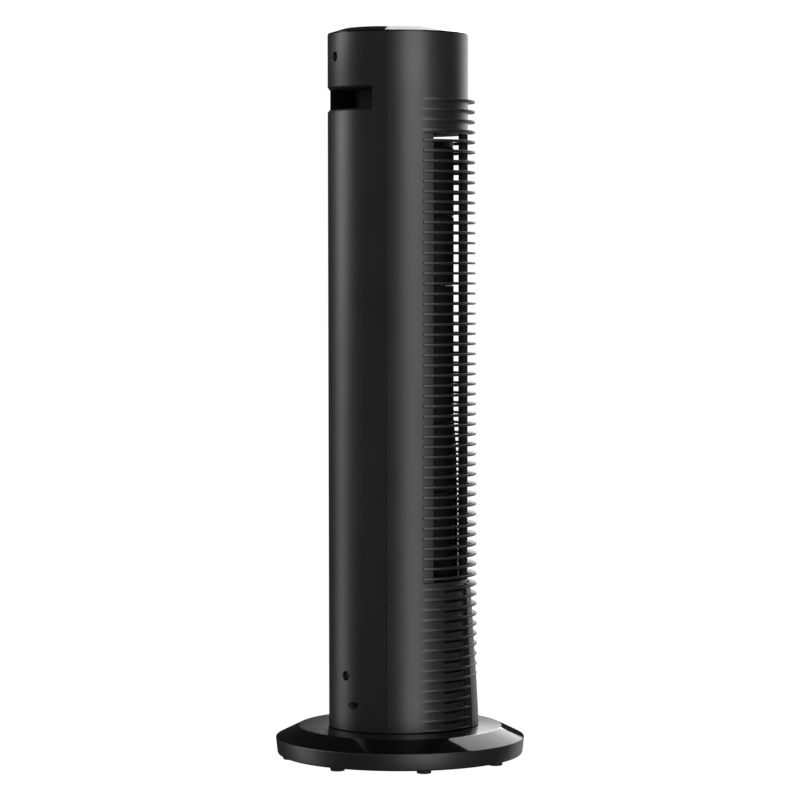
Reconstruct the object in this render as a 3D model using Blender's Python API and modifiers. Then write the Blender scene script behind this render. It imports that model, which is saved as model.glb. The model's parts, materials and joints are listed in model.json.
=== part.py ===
"""A 28-inch tower fan: a two-part base, and a ribbed tower that swings on it with a cross-flow wheel inside.

Metres, +Z up. The origin is on the floor under the middle of the base. The tower faces -Y. Angles called phi are
measured round the tower's axis from its front (-Y), positive towards +X.
"""

import math

import bmesh
import bpy
from mathutils import Vector

# Overall sizes
total_height = 0.711
base_radius = 0.122
base_rim_height = 0.0200
base_deck_height = 0.0309
base_deck_radius = 0.100
base_draft = 0.0028
tower_radius = 0.0665
tower_bottom = 0.0317
tower_rim = 0.7053

# Rear shell: an arc that meets the front circle at the two seams and stands further back than it
seam_phi = 130.0
rear_bulge_top = 0.0058
rear_bulge_bottom = 0.0042
rear_reach_top = tower_radius + rear_bulge_top
rear_reach_bottom = tower_radius + rear_bulge_bottom

# Walls and clearances
wall = 0.0022
base_wall = 0.0025
touch_gap = 0.0003
running_gap = 0.0003
seam_gap = 0.0004
plate = 0.0025

# Ribs and the grille's opening
rib_count = 63
rib_top = 0.6408
rib_pitch = 0.00981
rib_thickness = 0.0019
rib_height = 0.0090
rib_reach = tower_radius + rib_height
rib_half_angle = 100.0
rib_end_depth = 0.0003
rib_steps = 10
lower_rib_steps = 3
rib_root_depth = 0.0036
rib_inner_radius = tower_radius - rib_root_depth
head_ribs = 4
lower_ribs = 15
opening_top_drop = 0.00237
opening_bottom_rise = 0.00578
opening_top = rib_top - (head_ribs - 1) * rib_pitch - opening_top_drop
opening_bottom = rib_top - (rib_count - lower_ribs) * rib_pitch + opening_bottom_rise
opening_half_angle = 100.6
strip_angle = 90.5
strip_depth = 0.0008
partition_start = 37.5
partition_end = 59.5
partition_depth = 0.0050
partition_radius = tower_radius - partition_depth
partition_wall = 0.0015
stiffener_start = 50.0
stiffener_end = 52.5

# Smooth flared panel below the opening
panel_half_angle = 50.0
panel_flare_top = 0.0035
panel_flare_bottom = 0.0120
panel_reach_top = tower_radius + panel_flare_top
panel_reach_bottom = tower_radius + panel_flare_bottom
panel_wall = 0.0020

# Swing of the tower on the base, in degrees: the tower rests turned back from the middle
swing_shown = 30.5

# Grip recess in the rear shell
grip_low = 0.6305
grip_high = 0.6537
grip_half_width = 0.0418
grip_floor_y = 0.032
cup_wall = 0.0020

# Screw wells and cord hole in the rear shell
well_radius = 0.0046
well_depth = 0.0040
boss_wall = 0.0020
boss_length = 0.012
upper_screw_height = 0.6827
lower_screw_height = 0.0850
lower_screw_turn = 12.0
cord_hole_turn = 21.0
cord_hole_height = 0.0566
cord_hole_size = (0.0160, 0.0080)
screw_shank_radius = 0.0015
screw_head_radius = 0.0035
screw_head_thickness = 0.0022
gland_length = 0.0088
gland_inset = 0.0012
gland_wall = 0.0013

# Cross-flow wheel
wheel_offset = 0.0114
wheel_radius = 0.0421
wheel_bottom = 0.1940
segment_pitch = 0.0670
segment_count = 6
blade_count = 14
disc_thickness = 0.0020
end_disc_thickness = 0.0045
blade_thickness = 0.0011
blade_chord = 0.0080
blade_lean = 9.0
blade_inset = 0.0005
end_disc_bevel = 0.0015
wheel_pin_radius = 0.0030
wheel_pin_length = 0.0130
bush_radius = 0.0070

# Motor
motor_radius = 0.036
motor_low = 0.1050
lower_bulkhead_low = 0.1700
upper_bulkhead_rise = 0.0005
upper_bulkhead_low = opening_top + upper_bulkhead_rise
shaft_clearance = 0.0060
guide_gap = 0.0045
guide_half_angle = 68.0
guide_edge_phi = 101.0
guide_wall = 0.0016
deflector_wall = 0.0012
deflector_gap = 0.0010
shaft_radius = 0.0040
coupling_radius = 0.0140
coupling_rim = 0.0060
coupling_taper = 0.0050
capacitor_size = (0.032, 0.016, 0.036)
capacitor_y = 0.032

# Column, ring gear and pinion of the swing
column_radius = 0.0220
column_bore = 0.0180
flange_radius = 0.0400
flange_low = 0.0170
flange_thickness = 0.0030
gear_module = 0.0020
ring_teeth = 30
pinion_teeth = 10
gear_low = 0.0402
gear_thickness = 0.0060
backlash = 0.0008
gear_addendum = 0.80
gear_dedendum = 1.20
slide_ring_outer = 0.058
slide_ring_inner = 0.048
hub_wall = 0.0035
turntable_thickness = 0.0030
nut_radius = 0.0280
nut_height = 0.0050
swing_motor_radius = 0.024
swing_motor_low = 0.0530
swing_motor_height = 0.0200
swing_shaft_radius = 0.0025
swing_shaft_offset = 0.0040
ear_height = 0.0060
ear_thickness = 0.0020
ear_half_width = 0.0050
ear_reach = 0.0040
post_gap = 0.0010
post_radius = 0.0035
base_screw_circle = 0.0330
base_boss_radius = 0.0045
foot_count = 8
foot_circle = 0.1095
foot_radius = 0.0070
foot_height = 0.0033
first_foot_phi = 41.5

# Cap, panel and buttons
cap_step = 0.0007
cap_flat_scale = 0.76
cap_wall = 0.0016
cap_skirt = 0.0060
shelf_width = 0.004
panel_radius = 0.0430
panel_top_drop = 0.0014
panel_thickness = 0.0020
button_radius = 0.0050
button_pitch = 0.0170
button_travel = 0.0012
button_row_y = -0.0120
button_height = 0.0012
button_edge = 0.0006
button_flange = 0.0012
button_flange_thickness = 0.0010
button_stem_radius = 0.0020
board_radius = 0.0430
board_height = 0.6970
board_thickness = 0.0016
board_post_radius = 0.0018


def point(phi, radius, centre_y=0.0):
    """The plan point at that angle from the front."""
    turn = math.radians(phi)
    return Vector((radius * math.sin(turn), centre_y - radius * math.cos(turn)))


def arc(radius, start, end, steps, centre_y=0.0):
    """Plan points from one phi to another."""
    return [point(start + (end - start) * i / steps, radius, centre_y) for i in range(steps + 1)]


def rear_circle(reach):
    """(centre_y, radius, half angle) of the rear arc that meets both seams and reaches that far back."""
    seam = point(seam_phi, tower_radius)
    centre = (reach**2 - seam.length_squared) / (2 * (reach - seam.y))
    return centre, reach - centre, math.degrees(math.atan2(seam.x, seam.y - centre))


def rear_reach(height):
    share = (height - tower_bottom) / (tower_rim - tower_bottom)
    return rear_reach_bottom + (rear_reach_top - rear_reach_bottom) * share


def rear_arc(height, inset, steps, gap=0.0):
    """Rear shell's plan line at a height, from the +X seam round the back to the -X seam."""
    centre, radius, half = rear_circle(rear_reach(height))
    half -= math.degrees(gap / radius)
    return arc(radius - inset, 180 - half, 180 + half, steps, centre)


def with_short_ends(line):
    """The same line with a short first and last step, so that a thickened wall ends square."""
    return [line[0], line[0].lerp(line[1], 0.04), *line[1:-1], line[-1].lerp(line[-2], 0.04), line[-1]]


def front_arc(inset, gap=0.0):
    """Front shell's plan line: two side walls, and the ribbed stretch between them."""
    half = seam_phi - math.degrees(gap / tower_radius)
    radius, side = tower_radius - inset, rib_half_angle
    line = arc(radius, -half, -side, 2)[:-1] + arc(radius, -side, side, rib_steps)
    return line + arc(radius, side, half, 2)[1:]


def tower_outline(height, inset):
    """Closed plan outline of the tower at a height, drawn in by inset."""
    return front_arc(inset) + rear_arc(height, inset, 5)[1:-1]


def flared_circle(reach):
    """(centre_y, radius) of the circle through both rib ends that reaches that far forward."""
    end = point(rib_half_angle, tower_radius - rib_end_depth)
    centre = (reach**2 - end.length_squared) / (2 * (reach + end.y))
    return -centre, reach - centre


def flared_arc(reach, start, end, steps, inset=0.0):
    """Points on the flared circle, at even angles round the tower's own axis."""
    centre, radius = flared_circle(reach)
    points = []
    for i in range(steps + 1):
        direction = point(start + (end - start) * i / steps, 1.0)
        along = direction.y * centre
        span = along + math.sqrt(along**2 + (radius - inset) ** 2 - centre**2)
        points.append(direction * span)
    return points


def clear_scene():
    for leftover in list(bpy.data.objects):
        bpy.data.objects.remove(leftover)


def new_collection(name):
    made = bpy.data.collections.new(name)
    bpy.context.scene.collection.children.link(made)
    return made


def new_material(name, colour, roughness, metallic=0.0):
    made = bpy.data.materials.new(name)
    made.use_nodes = True
    shader = made.node_tree.nodes["Principled BSDF"]
    shader.inputs["Base Color"].default_value = (*colour, 1.0)
    shader.inputs["Roughness"].default_value = roughness
    shader.inputs["Metallic"].default_value = metallic
    return made


def add(name, data, material, collection=None, parent=None):
    made = bpy.data.objects.new(name, data)
    (collection or parts).objects.link(made)
    if material:
        data.materials.append(material)
    made.parent = parent or tower
    return made


def as_cutter(made):
    """Moves a helper to the cutters and hides it."""
    parts.objects.unlink(made)
    cutters.objects.link(made)
    made.hide_render = True
    made.display_type = "WIRE"
    return made


def from_bmesh(name, bm, material, parent=None, smooth=True):
    data = bpy.data.meshes.new(name)
    bm.to_mesh(data)
    bm.free()
    if smooth:
        data.shade_smooth()
        data.set_sharp_from_angle(angle=math.radians(35))
    return add(name, data, material, parent=parent)


def box(name, low, high, material=None, parent=None):
    bm = bmesh.new()
    bmesh.ops.create_cube(bm, size=1.0)
    low, high = Vector(low), Vector(high)
    bmesh.ops.scale(bm, vec=high - low, verts=bm.verts)
    bmesh.ops.translate(bm, vec=(low + high) / 2, verts=bm.verts)
    return from_bmesh(name, bm, material, parent, smooth=False)


def cylinder(name, radius, low, high, centre=(0, 0), material=None, steps=12, parent=None):
    """An upright cylinder from low to high."""
    bm = bmesh.new()
    bmesh.ops.create_cone(bm, cap_ends=True, segments=steps, radius1=radius, radius2=radius, depth=high - low)
    bmesh.ops.translate(bm, vec=(*centre, (low + high) / 2), verts=bm.verts)
    return from_bmesh(name, bm, material, parent)


def radial_cylinder(name, radius, phi, start, end, height, steps=16, stretch=1.0):
    """A cylinder that lies along a ray from the tower's axis, stretched sideways for an oval."""
    bm = bmesh.new()
    bmesh.ops.create_cone(bm, cap_ends=True, segments=steps, radius1=radius, radius2=radius, depth=end - start)
    bmesh.ops.scale(bm, vec=(1.0, stretch, 1.0), verts=bm.verts)
    along = point(phi, 1.0).to_3d()
    turn = Vector((0, 0, 1)).rotation_difference(along).to_matrix()
    side = turn @ Vector((0, 1, 0))
    level = side.cross(along)
    roll = math.atan2(level.dot(Vector((0, 0, 1))), side.dot(Vector((0, 0, 1))))
    spin = bmesh.ops.rotate
    spin(bm, cent=(0, 0, 0), matrix=rotation_z(math.pi / 2 - roll), verts=bm.verts)
    spin(bm, cent=(0, 0, 0), matrix=turn, verts=bm.verts)
    bmesh.ops.translate(bm, vec=along * (start + end) / 2 + Vector((0, 0, height)), verts=bm.verts)
    return from_bmesh(name, bm, None)


def rotation_z(turn):
    return Vector((1, 0, 0)).rotation_difference(Vector((math.cos(turn), math.sin(turn), 0))).to_matrix()


def turned(name, profile, material, steps=24, closed=False, angle=math.tau, centre=(0, 0), parent=None):
    """A turned shape. The profile holds (radius, height) points and runs down its outer side."""
    bm = bmesh.new()
    line = [bm.verts.new((radius, 0, height)) for radius, height in profile]
    for a, b in zip(line, line[1:] + line[:1] * closed):
        bm.edges.new((a, b))
    made = from_bmesh(name, bm, material, parent, smooth=False)
    made.location = (*centre, 0)
    screw = made.modifiers.new("Turn", "SCREW")
    screw.angle = angle
    screw.steps = screw.render_steps = steps
    screw.use_merge_vertices = angle == math.tau
    screw.merge_threshold = 0.00001
    return made


def flat(name, outlines, low, high, material, parent=None):
    """A flat plate between two heights, from closed plan outlines. Later outlines may be holes."""
    curve = bpy.data.curves.new(name, "CURVE")
    curve.dimensions = "2D"
    curve.fill_mode = "BOTH"
    curve.extrude = (high - low) / 2
    for outline in outlines:
        spline = curve.splines.new("POLY")
        spline.points.add(len(outline) - 1)
        for spot, corner in zip(spline.points, outline):
            spot.co = (corner[0], corner[1], 0, 1)
        spline.use_cyclic_u = True
    made = add(name, curve, material, parent=parent)
    made.location.z = (low + high) / 2
    return made


def to_mesh(curve_object):
    """The same piece as a mesh with its caps welded, so that it can be cut and joined."""
    bpy.context.view_layer.update()
    evaluated = curve_object.evaluated_get(bpy.context.evaluated_depsgraph_get())
    data = bpy.data.meshes.new_from_object(evaluated)
    bm = bmesh.new()
    bm.from_mesh(data)
    bmesh.ops.remove_doubles(bm, verts=bm.verts, dist=0.000001)
    bm.to_mesh(data)
    bm.free()
    name, parent, place = curve_object.name, curve_object.parent, curve_object.matrix_world.copy()
    bpy.data.objects.remove(curve_object)
    made = bpy.data.objects.new(name, data)
    parts.objects.link(made)
    made.parent = parent
    made.matrix_world = place
    return made


def wall_between(name, levels, thickness, material, closed=False, parent=None):
    """A shell through plan lines at several heights, lowest first, with its thickness on the inside."""
    bm = bmesh.new()
    rows = [[bm.verts.new((*spot, height)) for spot in line] for height, line in levels]
    for low, high in zip(rows, rows[1:]):
        for a, b, c, d in zip(low, low[1:] + low[:1] * closed, high[1:] + high[:1] * closed, high):
            bm.faces.new((a, b, c, d))
    made = from_bmesh(name, bm, material, parent)
    solid = made.modifiers.new("Wall", "SOLIDIFY")
    solid.thickness = thickness
    solid.offset = -1
    solid.use_even_offset = True
    return made


def boolean(target, tool, operation="DIFFERENCE", hide=True):
    if hide:
        as_cutter(tool)
    step = target.modifiers.new(operation.title(), "BOOLEAN")
    step.operation = operation
    step.object = tool
    step.solver = "EXACT"
    return target


def build_base():
    """Two half shells that meet on a line through the axis, on eight rubber feet."""
    bore, floor = column_radius + touch_gap, foot_height + touch_gap
    section = [
        (bore, base_deck_height),
        (base_deck_radius, base_deck_height),
        (base_radius, base_rim_height),
        (base_radius - base_draft / 2, floor + 0.0020),
        (base_radius - base_draft, floor),
        (foot_circle - foot_radius, floor),
        (foot_circle - foot_radius, floor + base_wall),
        (base_radius - base_draft - base_wall, floor + base_wall),
        (base_radius - base_wall, base_rim_height - base_wall / 2),
        (base_deck_radius, base_deck_height - base_wall),
        (bore, base_deck_height - base_wall),
    ]
    boss_low = flange_low + flange_thickness + touch_gap
    beyond = base_radius + 0.01
    for name, side, turns in (("base_front", -1, (-45, 45)), ("base_rear", 1, (135, 225))):
        half = turned(name, section, black_satin, steps=28, closed=True, parent=base)
        for turn in turns:
            spot = point(turn, base_screw_circle)
            boss = cylinder(name + "_boss", base_boss_radius, boss_low, base_deck_height - base_wall / 2, spot,
                            steps=8, parent=base)
            boolean(half, boss, "UNION")
            pilot = cylinder(name + "_pilot", screw_shank_radius + touch_gap, boss_low - 0.001,
                             base_deck_height - base_wall, spot, steps=8, parent=base)
            boolean(half, pilot)
        edges = sorted((side * seam_gap / 2, -side * beyond))
        boolean(half, box(name + "_cut", (-beyond, edges[0], 0), (beyond, edges[1], 0.1), parent=base))
    for i in range(foot_count):
        spot = point(first_foot_phi + i * 360 / foot_count, foot_circle)
        cylinder(f"foot_{i + 1}", foot_radius, 0, foot_height, spot, rubber, steps=10, parent=base)
    for i, turn in enumerate((-45, 45, 135, 225)):
        screw(f"base_screw_{i + 1}", point(turn, base_screw_circle))


def screw(name, spot):
    """A pan-head screw that stands head down under the column's flange."""
    head_top = flange_low - touch_gap
    profile = [
        (0, base_deck_height - base_wall - 0.0015),
        (screw_shank_radius, base_deck_height - base_wall - 0.0015),
        (screw_shank_radius, head_top),
        (screw_head_radius, head_top),
        (screw_head_radius * 0.8, head_top - screw_head_thickness),
        (0, head_top - screw_head_thickness),
    ]
    return turned(name, profile, steel, steps=10, centre=spot, parent=base)


def build_column():
    """The fixed post in the base that the tower turns on, with its nut, slide ring and ring gear."""
    nut_low = gear_low + gear_thickness + touch_gap
    top = nut_low + nut_height - 0.001
    flange_top = flange_low + flange_thickness
    column = turned("column", [
        (column_radius, top),
        (column_radius, flange_top),
        (flange_radius, flange_top),
        (flange_radius, flange_low),
        (column_bore, flange_low),
        (column_bore, top),
    ], nylon, steps=16, closed=True, parent=base)
    for turn in (-45, 45, 135, 225):
        hole = cylinder("flange_hole", screw_shank_radius + touch_gap, flange_low - 0.001, flange_top + 0.001,
                        point(turn, base_screw_circle), steps=8, parent=base)
        boolean(column, hole)
    bore = column_radius + touch_gap
    turned("column_nut", [
        (nut_radius, nut_low + nut_height),
        (nut_radius, nut_low),
        (bore, nut_low),
        (bore, nut_low + nut_height),
    ], nylon, steps=16, closed=True, parent=base)
    ring_low = base_deck_height + touch_gap
    turned("slide_ring", [
        (slide_ring_outer, tower_floor - running_gap),
        (slide_ring_outer, ring_low),
        (slide_ring_inner, ring_low),
        (slide_ring_inner, tower_floor - running_gap),
    ], nylon, steps=20, closed=True, parent=base)
    round_bore = [point(i * 22.5, bore) for i in range(16)]
    teeth = gear_outline(ring_teeth, 180 - swing_shown, backlash)
    flat("ring_gear", [teeth, round_bore], gear_low, gear_low + gear_thickness, nylon, parent=base)


def gear_outline(teeth, tooth_phi, slack, centre_y=0.0):
    """A spur gear's outline with straight flanks, one tooth pointing along tooth_phi."""
    pitch_radius = teeth * gear_module / 2
    root, tip = pitch_radius - gear_dedendum * gear_module, pitch_radius + gear_addendum * gear_module
    half = (math.pi * gear_module / 2 - slack) / 2
    lean = math.tan(math.radians(20))
    outline = []
    for i in range(teeth):
        middle = tooth_phi + i * 360 / teeth
        for side, radius in ((-1, root), (-1, tip), (1, tip), (1, root)):
            width = half - (radius - pitch_radius) * lean
            outline.append(point(middle + side * math.degrees(width / radius), radius, centre_y))
    return outline


def build_swivel():
    """The tower's floor, which turns on the column, and the motor that drives the swing."""
    hub_bore = column_radius / math.cos(math.pi / 16) + running_gap
    floor_top = tower_floor + turntable_thickness
    turntable = flat("turntable", [
        tower_outline(tower_floor, wall + touch_gap),
        [point(i * 22.5, hub_bore) for i in range(16)],
    ], tower_floor, floor_top, black_matte)
    turntable = to_mesh(turntable)
    hub = turned("turntable_hub", [
        (hub_bore + hub_wall, gear_low - running_gap),
        (hub_bore + hub_wall, floor_top - 0.001),
        (hub_bore, floor_top - 0.001),
        (hub_bore, gear_low - running_gap),
    ], None, steps=16, closed=True)
    boolean(turntable, hub, "UNION")
    spacing = gear_module * (ring_teeth + pinion_teeth) / 2
    pinion_low, pinion_high = gear_low, gear_low + gear_thickness
    bore = [point(i * 30, swing_shaft_radius + touch_gap) for i in range(12)]
    pinion = flat("swing_pinion", [gear_outline(pinion_teeth, 180 / pinion_teeth, backlash), bore],
                  pinion_low, pinion_high, nylon, parent=pinion_axis)
    pinion.location.y = 0
    pinion_axis.location = (0, spacing, 0)
    motor_high = swing_motor_low + swing_motor_height
    motor_y = spacing - swing_shaft_offset
    motor = cylinder("swing_motor", swing_motor_radius, swing_motor_low, motor_high, (0, motor_y), steel, steps=20)
    shaft = cylinder("swing_shaft", swing_shaft_radius, pinion_low, swing_motor_low + 0.002, (0, spacing), steps=12)
    boolean(motor, shaft, "UNION")
    post_x = swing_motor_radius + post_radius + post_gap
    ear_low = swing_motor_low + ear_height
    ears = box("swing_ears", (-post_x - ear_reach, motor_y - ear_half_width, ear_low),
               (post_x + ear_reach, motor_y + ear_half_width, ear_low + ear_thickness))
    boolean(motor, ears, "UNION")
    for name, side in (("swing_post_left", -1), ("swing_post_right", 1)):
        cylinder(name, post_radius, floor_top + touch_gap, ear_low - touch_gap, (side * post_x, motor_y),
                 black_matte, steps=12)


def build_rear_housing():
    """The rear shell: grip recess, two screw wells with bosses, and the oval cord hole."""
    levels = [(height, with_short_ends(rear_arc(height, 0, 10, seam_gap / 2)))
              for height in (tower_bottom, tower_rim)]
    housing = wall_between("rear_housing", levels, wall, black_satin)
    wells = ((upper_screw_height, 180.0), (lower_screw_height, 180.0 + lower_screw_turn))
    for height, phi in wells:
        surface = surface_radius(phi, height)
        boss = radial_cylinder("boss", well_radius + boss_wall, phi, surface - boss_length, surface - wall / 2,
                               height, steps=12)
        boolean(housing, boss, "UNION")
    for height, phi in wells:
        surface = surface_radius(phi, height)
        well = radial_cylinder("well", well_radius, phi, surface - well_depth, surface + 0.006, height, steps=12)
        boolean(housing, well)
        pilot = radial_cylinder("pilot", screw_shank_radius + touch_gap, phi, surface - boss_length - 0.001,
                                surface, height, steps=8)
        boolean(housing, pilot)
    window = box("grip_window", (-grip_half_width, grip_floor_y, grip_low),
                 (grip_half_width, rear_reach_top + 0.01, grip_high))
    boolean(housing, window)
    width, tall = cord_hole_size
    surface = surface_radius(180 + cord_hole_turn, cord_hole_height)
    hole = radial_cylinder("cord_hole", tall / 2, 180 + cord_hole_turn, surface - 0.02, surface + 0.02,
                           cord_hole_height, steps=16, stretch=width / tall)
    boolean(housing, hole)
    gland_top = surface - gland_inset
    gland = radial_cylinder("cord_gland", tall / 2 - touch_gap, 180 + cord_hole_turn, gland_top - gland_length,
                            gland_top, cord_hole_height, steps=16,
                            stretch=(width / 2 - touch_gap) / (tall / 2 - touch_gap))
    gland.data.materials.append(rubber)
    bore = radial_cylinder("gland_bore", tall / 2 - touch_gap - gland_wall, 180 + cord_hole_turn, surface - 0.02,
                           surface + 0.02, cord_hole_height, steps=16, stretch=width / tall)
    boolean(gland, bore)
    for name, (height, phi) in zip(("upper_screw", "lower_screw"), wells):
        shell_screw(name, phi, surface_radius(phi, height), height)


def surface_radius(phi, height):
    """Distance from the tower's axis to the rear shell's outside along phi."""
    centre, radius, _ = rear_circle(rear_reach(height))
    ray = point(phi, 1.0)
    along = ray.y * centre
    return along + math.sqrt(along**2 + radius**2 - centre**2)


def shell_screw(name, phi, surface, height):
    """A screw that lies in its well, head outwards."""
    seat = surface - well_depth + touch_gap
    shank = radial_cylinder(name, screw_shank_radius, phi, surface - boss_length, seat + 0.001, height, steps=8)
    shank.data.materials.append(steel)
    head = radial_cylinder(name + "_head", screw_head_radius, phi, seat, seat + screw_head_thickness, height,
                             steps=12)
    boolean(shank, head, "UNION")


def rib(name, inner_radius, start_height, count, start, end, steps):
    """A stack of plates from phi start to phi end, where their flared edge fades into the wall."""
    outline = flared_arc(rib_reach, start, end, steps)
    outline += arc(inner_radius, end, start, steps)
    low = start_height - rib_thickness / 2
    made = to_mesh(flat(name, [outline], low, low + rib_thickness, None))
    stack = made.modifiers.new("Stack", "ARRAY")
    stack.count = count
    stack.use_relative_offset = False
    stack.use_constant_offset = True
    stack.constant_offset_displace = (0, 0, -rib_pitch)
    return made


def ring_sector(start, end, inner, outer, steps):
    return arc(outer, start, end, steps) + arc(inner, end, start, steps)


def build_front_housing():
    """The front shell: solid head, side walls, and the ribbed wall under the opening."""
    levels = [(height, with_short_ends(front_arc(0, seam_gap / 2))) for height in (tower_bottom, tower_rim)]
    housing = wall_between("front_housing", levels, wall, black_satin)
    half = opening_half_angle
    opening = flat("opening", [ring_sector(-half, half, tower_radius - 0.012, tower_radius + 0.012, 18)],
                   opening_bottom, opening_top, None)
    boolean(housing, to_mesh(opening))
    in_wall = tower_radius - wall * 0.6
    boolean(housing, rib("head_rib", in_wall, rib_top, head_ribs, -rib_half_angle, rib_half_angle, rib_steps), "UNION")
    first_lower = rib_top - rib_pitch * (rib_count - lower_ribs)
    for side in (-1, 1):
        stack = rib("lower_rib", in_wall, first_lower, lower_ribs, side * panel_half_angle, side * rib_half_angle,
                    lower_rib_steps)
        boolean(housing, stack, "UNION")


def build_lower_front_panel():
    """The smooth panel that flares forward below the outlet; its top lip folds back to the wall."""
    half = panel_half_angle - 0.4
    top = rib_top - rib_pitch * (rib_count - lower_ribs) + 0.0026
    rows = []
    for height, reach in ((tower_bottom, panel_reach_bottom), (top, panel_reach_top)):
        rows.append((height, flared_arc(reach, -half, half, 10)))
    panel = wall_between("lower_front_panel", rows, panel_wall, black_satin)
    lip = arc(tower_radius + 0.0005, half, -half, 10)
    lip += flared_arc(panel_reach_top - panel_wall / 2, -half, half, 10)
    lip_high = top - touch_gap
    boolean(panel, to_mesh(flat("panel_lip", [lip], lip_high - panel_wall, lip_high, None)), "UNION")


def build_front_grille():
    """The louvre insert: side strips and two thin stiffeners, joined by the ribs."""
    low, high = opening_bottom + touch_gap, opening_top - touch_gap
    edge = opening_half_angle - 0.4
    bars = []
    for side in (-1, 1):
        bars += [
            ring_sector(side * strip_angle, side * edge, rib_inner_radius - 0.0008, tower_radius - strip_depth, 1),
            ring_sector(side * stiffener_start, side * stiffener_end, partition_radius + touch_gap,
                        rib_inner_radius + 0.0006, 1),
        ]
    pieces = [to_mesh(flat(f"bar_{i}", [outline], low, high, None)) for i, outline in enumerate(bars)]
    grille = pieces[0]
    grille.name = "front_grille"
    grille.data.materials.append(black_satin)
    count = rib_count - head_ribs - lower_ribs
    ribs = rib("grille_rib", rib_inner_radius, rib_top - head_ribs * rib_pitch, count, -rib_half_angle,
               rib_half_angle, rib_steps)
    boolean(grille, ribs, "UNION")
    for piece in pieces[1:]:
        boolean(grille, piece, "UNION")


def build_ducts():
    """The bulkheads that close the air duct, the walls round the wheel, and the slanted deflector."""
    inset = wall + touch_gap
    hole = [point(i * 22.5, bearing_cup_radius + touch_gap, -wheel_offset) for i in range(16)]
    flat("upper_bulkhead", [tower_outline(upper_bulkhead_low, inset), hole], upper_bulkhead_low,
         upper_bulkhead_low + plate, black_matte)
    shaft_hole = [point(i * 22.5, shaft_radius + shaft_clearance, -wheel_offset) for i in range(16)]
    flat("lower_bulkhead", [tower_outline(lower_bulkhead_low, inset), shaft_hole], lower_bulkhead_low,
         lower_bulkhead_low + plate, black_matte)
    low = lower_bulkhead_low + plate + touch_gap
    high = upper_bulkhead_low - touch_gap
    guide = arc(wheel_radius + guide_gap, 180 - guide_half_angle, 180 + guide_half_angle, 12, -wheel_offset)
    edges = [point(phi, partition_radius) for phi in (guide_edge_phi, 360 - guide_edge_phi)]
    guide = [edges[0], *guide, edges[1]]
    wall_between("rear_air_guide", [(low, guide), (high, guide)], guide_wall, black_matte)
    rows = []
    for share, edge in ((0, -14), (0.16, -12), (0.30, -8), (0.44, 3), (0.70, 22), (1, 30)):
        height = low + deflector_gap + (high - low - 2 * deflector_gap) * share
        rows.append((height, arc(partition_radius - partition_wall - touch_gap, edge, partition_end - 2, 6)))
    wall_between("outlet_deflector", rows, deflector_wall, black_matte)
    for name, side in (("outlet_wall_left", -1), ("outlet_wall_right", 1)):
        outline = ring_sector(side * partition_start, side * partition_end, partition_radius - partition_wall,
                              partition_radius, 3)
        flat(name, [outline], low, high, black_matte)


def blade_outline(turn):
    """A short blade that leans forward."""
    tip_radius = wheel_radius - blade_inset
    root, tip = point(turn, tip_radius - blade_chord), point(turn + blade_lean, tip_radius)
    side = point(turn + 90, blade_thickness / 2)
    return [root - side, tip - side, tip + side, root + side]


def build_wheel():
    """Six blade cages on one axis, closed by an end disc with its pin."""
    blades = to_mesh(flat("blades", [blade_outline(i * 360 / blade_count) for i in range(blade_count)],
                          disc_thickness / 2, segment_pitch - touch_gap, None, parent=wheel_axis))
    disc = cylinder("wheel_disc", wheel_radius, 0, disc_thickness, steps=20, parent=wheel_axis)
    boolean(disc, blades, "UNION")
    bpy.context.view_layer.update()
    cage = bpy.data.meshes.new_from_object(disc.evaluated_get(bpy.context.evaluated_depsgraph_get()))
    cage.name = "blade_cage"
    cage.materials.clear()
    cage.materials.append(black_wheel)
    for helper in (disc, blades):
        bpy.data.objects.remove(helper)
    for i in range(segment_count):
        segment = bpy.data.objects.new(f"impeller_segment_{i + 1}", cage)
        parts.objects.link(segment)
        segment.parent = wheel_axis
        segment.location.z = wheel_bottom + i * segment_pitch
    low = wheel_bottom + segment_count * segment_pitch
    high = low + end_disc_thickness
    turned("impeller_end_disc", [
        (0, high + wheel_pin_length),
        (wheel_pin_radius, high + wheel_pin_length),
        (wheel_pin_radius, high),
        (wheel_radius - end_disc_bevel, high),
        (wheel_radius, high - end_disc_bevel),
        (wheel_radius, low),
        (0, low),
    ], black_wheel, steps=20, parent=wheel_axis)
    coupling_high = wheel_bottom - touch_gap
    coupling_low = lower_bulkhead_low + plate + 0.002
    bore = shaft_radius + touch_gap
    turned("wheel_coupling", [
        (coupling_radius, coupling_high),
        (coupling_radius, coupling_high - coupling_rim),
        (coupling_radius - coupling_taper, coupling_low),
        (bore, coupling_low),
        (bore, coupling_high),
    ], rubber, steps=16, closed=True, parent=wheel_axis)
    cylinder("motor_shaft", shaft_radius, motor_low + 0.006, wheel_bottom - touch_gap, material=steel, steps=12,
             parent=wheel_axis)
    wheel_axis.location.y = -wheel_offset


def build_bearing():
    """The upper bush in its cup, which hangs in the upper bulkhead."""
    flange_low_z = upper_bulkhead_low + plate + touch_gap
    cup_low = wheel_bottom + segment_count * segment_pitch + end_disc_thickness + 0.002
    turned("bearing_holder", [
        (bearing_cup_radius + 0.006, flange_low_z + 0.002),
        (bearing_cup_radius + 0.006, flange_low_z),
        (bearing_cup_radius, flange_low_z),
        (bearing_cup_radius, cup_low),
        (bush_radius + touch_gap, cup_low),
        (bush_radius + touch_gap, flange_low_z + 0.002),
    ], black_matte, steps=16, closed=True, centre=(0, -wheel_offset))
    bore = wheel_pin_radius + running_gap
    turned("bearing_bush", [
        (bush_radius, flange_low_z + 0.001),
        (bush_radius, cup_low + 0.0005),
        (bore, cup_low + 0.0005),
        (bore, flange_low_z + 0.001),
    ], rubber, steps=16, closed=True, centre=(0, -wheel_offset))


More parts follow.
